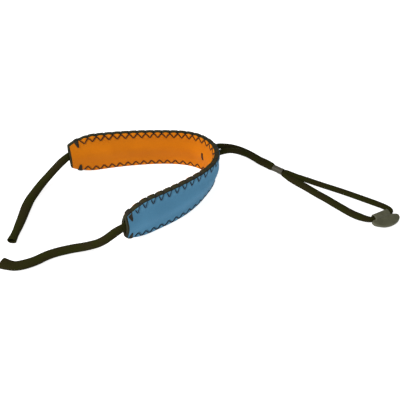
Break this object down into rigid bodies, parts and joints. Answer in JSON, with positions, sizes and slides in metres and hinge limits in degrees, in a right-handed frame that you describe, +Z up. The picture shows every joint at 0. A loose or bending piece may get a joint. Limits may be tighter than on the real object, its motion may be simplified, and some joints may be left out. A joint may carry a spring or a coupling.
{
  "type": "sport eyewear retainer strap",
  "caption": "Padded knit-covered foam band bent into a U, with knitted tube tails for the temple tips and a cord loop that a slider and a pull tab tighten.",
  "frame": {"origin": "middle of the band's box, on the plane that the band's bottom edge stands on", "axes": "+Z up; the band opens towards -X, where the eyewear is; +Y towards the wearer's right"},
  "size_m": [0.2481, 0.109, 0.0326],
  "materials": {
    "foam": "matte cut foam rubber",
    "orange_knit": "smooth fine jersey laminated to foam",
    "blue_knit": "smooth fine jersey laminated to foam",
    "dark_thread": "twisted sewing thread, slight sheen",
    "navy_thread": "twisted sewing thread, slight sheen",
    "cord": "soft tubular knit, matte",
    "slider_vinyl": "smoked translucent vinyl",
    "tab_rubber": "satin moulded rubber"
  },
  "bodies": {
    "band": {"inner_foam": "foam", "outer_foam": "foam", "inner_face_knit": "orange_knit", "outer_face_knit": "blue_knit", "centre_tack": "dark_thread", "top_seam_inner_thread": "dark_thread", "top_seam_outer_thread": "navy_thread", "bottom_seam_inner_thread": "dark_thread", "bottom_seam_outer_thread": "navy_thread", "right_top_tack": "dark_thread", "right_bottom_tack": "dark_thread", "left_top_tack": "dark_thread", "left_bottom_tack": "dark_thread", "right_tail_cord": "cord", "left_tail_cord": "cord", "right_channel_cord": "cord", "left_channel_cord": "cord", "loop_cord": "cord"},
    "slider": {"slider": "slider_vinyl"},
    "pull_tab": {"pull_tab": "tab_rubber"}
  },
  "joints": [
    {"name": "slider_slide", "type": "slide", "parent": "band", "child": "slider", "axis": [0.7934, -0.6088, 0], "range_m": [-0.008, 0.012]},
    {"name": "pull_tab_hinge", "type": "hinge", "parent": "band", "child": "pull_tab", "pos_m": [0.15559, -0.01781, 0.0031], "axis": [-0.8829, -0.4695, 0], "range_deg": [0, 120]}
  ]
}
